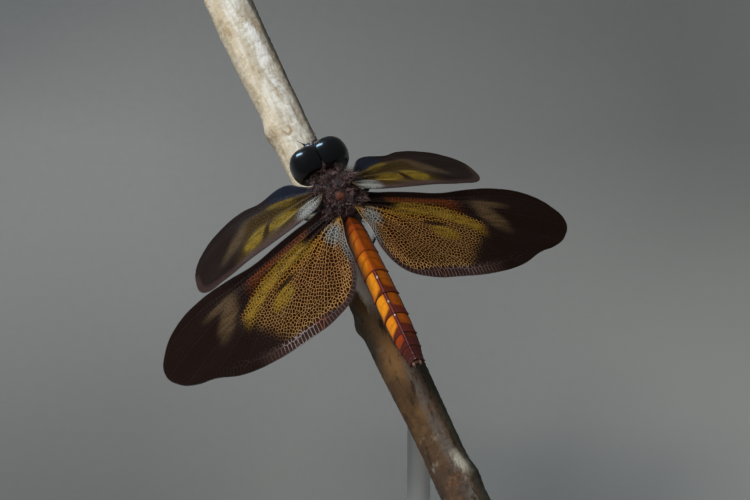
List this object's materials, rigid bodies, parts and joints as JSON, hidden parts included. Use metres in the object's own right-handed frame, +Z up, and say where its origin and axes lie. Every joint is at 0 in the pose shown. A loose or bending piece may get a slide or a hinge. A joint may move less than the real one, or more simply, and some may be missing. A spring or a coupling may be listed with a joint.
{
  "type": "dragonfly",
  "caption": "Life-size still dragonfly with dark spread wings and an orange abdomen, gripping a cut twig on a rod and round base.",
  "frame": {"origin": "centre of the stand base's underside, straight below the point where the rod meets the twig", "axes": "+Z up, +Y the way the dragonfly heads, from tail to head, +X to its right"},
  "size_m": [0.0434, 0.0661, 0.0517],
  "materials": {
    "eye_shell": "glossy black facets",
    "head_shell": "dark brown, satin",
    "thorax_shell": "dark purplish brown under short hair",
    "leg_shell": "black, satin, with bristles",
    "wing_membrane": "dark brown and amber membrane with a gold and silvery network",
    "abdomen_orange": "orange with amber patches, satin",
    "abdomen_tail": "dark red to purple brown, satin",
    "bark": "pale cream to mottled brown bark",
    "rod_steel": "brushed",
    "base_plastic": "fine matte"
  },
  "bodies": {
    "root": {"eye_right": "eye_shell", "eye_left": "eye_shell", "head": "head_shell", "neck": "thorax_shell", "antenna_right": "leg_shell", "antenna_left": "leg_shell", "thorax": "thorax_shell", "leg_front_right": "leg_shell", "leg_front_left": "leg_shell", "leg_middle_right": "leg_shell", "leg_middle_left": "leg_shell", "leg_hind_right": "leg_shell", "leg_hind_left": "leg_shell", "wing_fore_right": "wing_membrane", "wing_fore_left": "wing_membrane", "wing_hind_right": "wing_membrane", "wing_hind_left": "wing_membrane", "abdomen_ring_1": "abdomen_orange", "abdomen_ring_2": "abdomen_orange", "abdomen_ring_3": "abdomen_orange", "abdomen_ring_4": "abdomen_orange", "abdomen_ring_5": "abdomen_orange", "abdomen_ring_6": "abdomen_orange", "abdomen_ring_7": "abdomen_orange", "abdomen_ring_8": "abdomen_tail", "abdomen_ring_9": "abdomen_tail", "abdomen_ring_10": "abdomen_tail", "cercus_right": "abdomen_tail", "cercus_left": "abdomen_tail", "perch_twig": "bark", "stand_rod": "rod_steel", "stand_base": "base_plastic"}
  },
  "joints": []
}
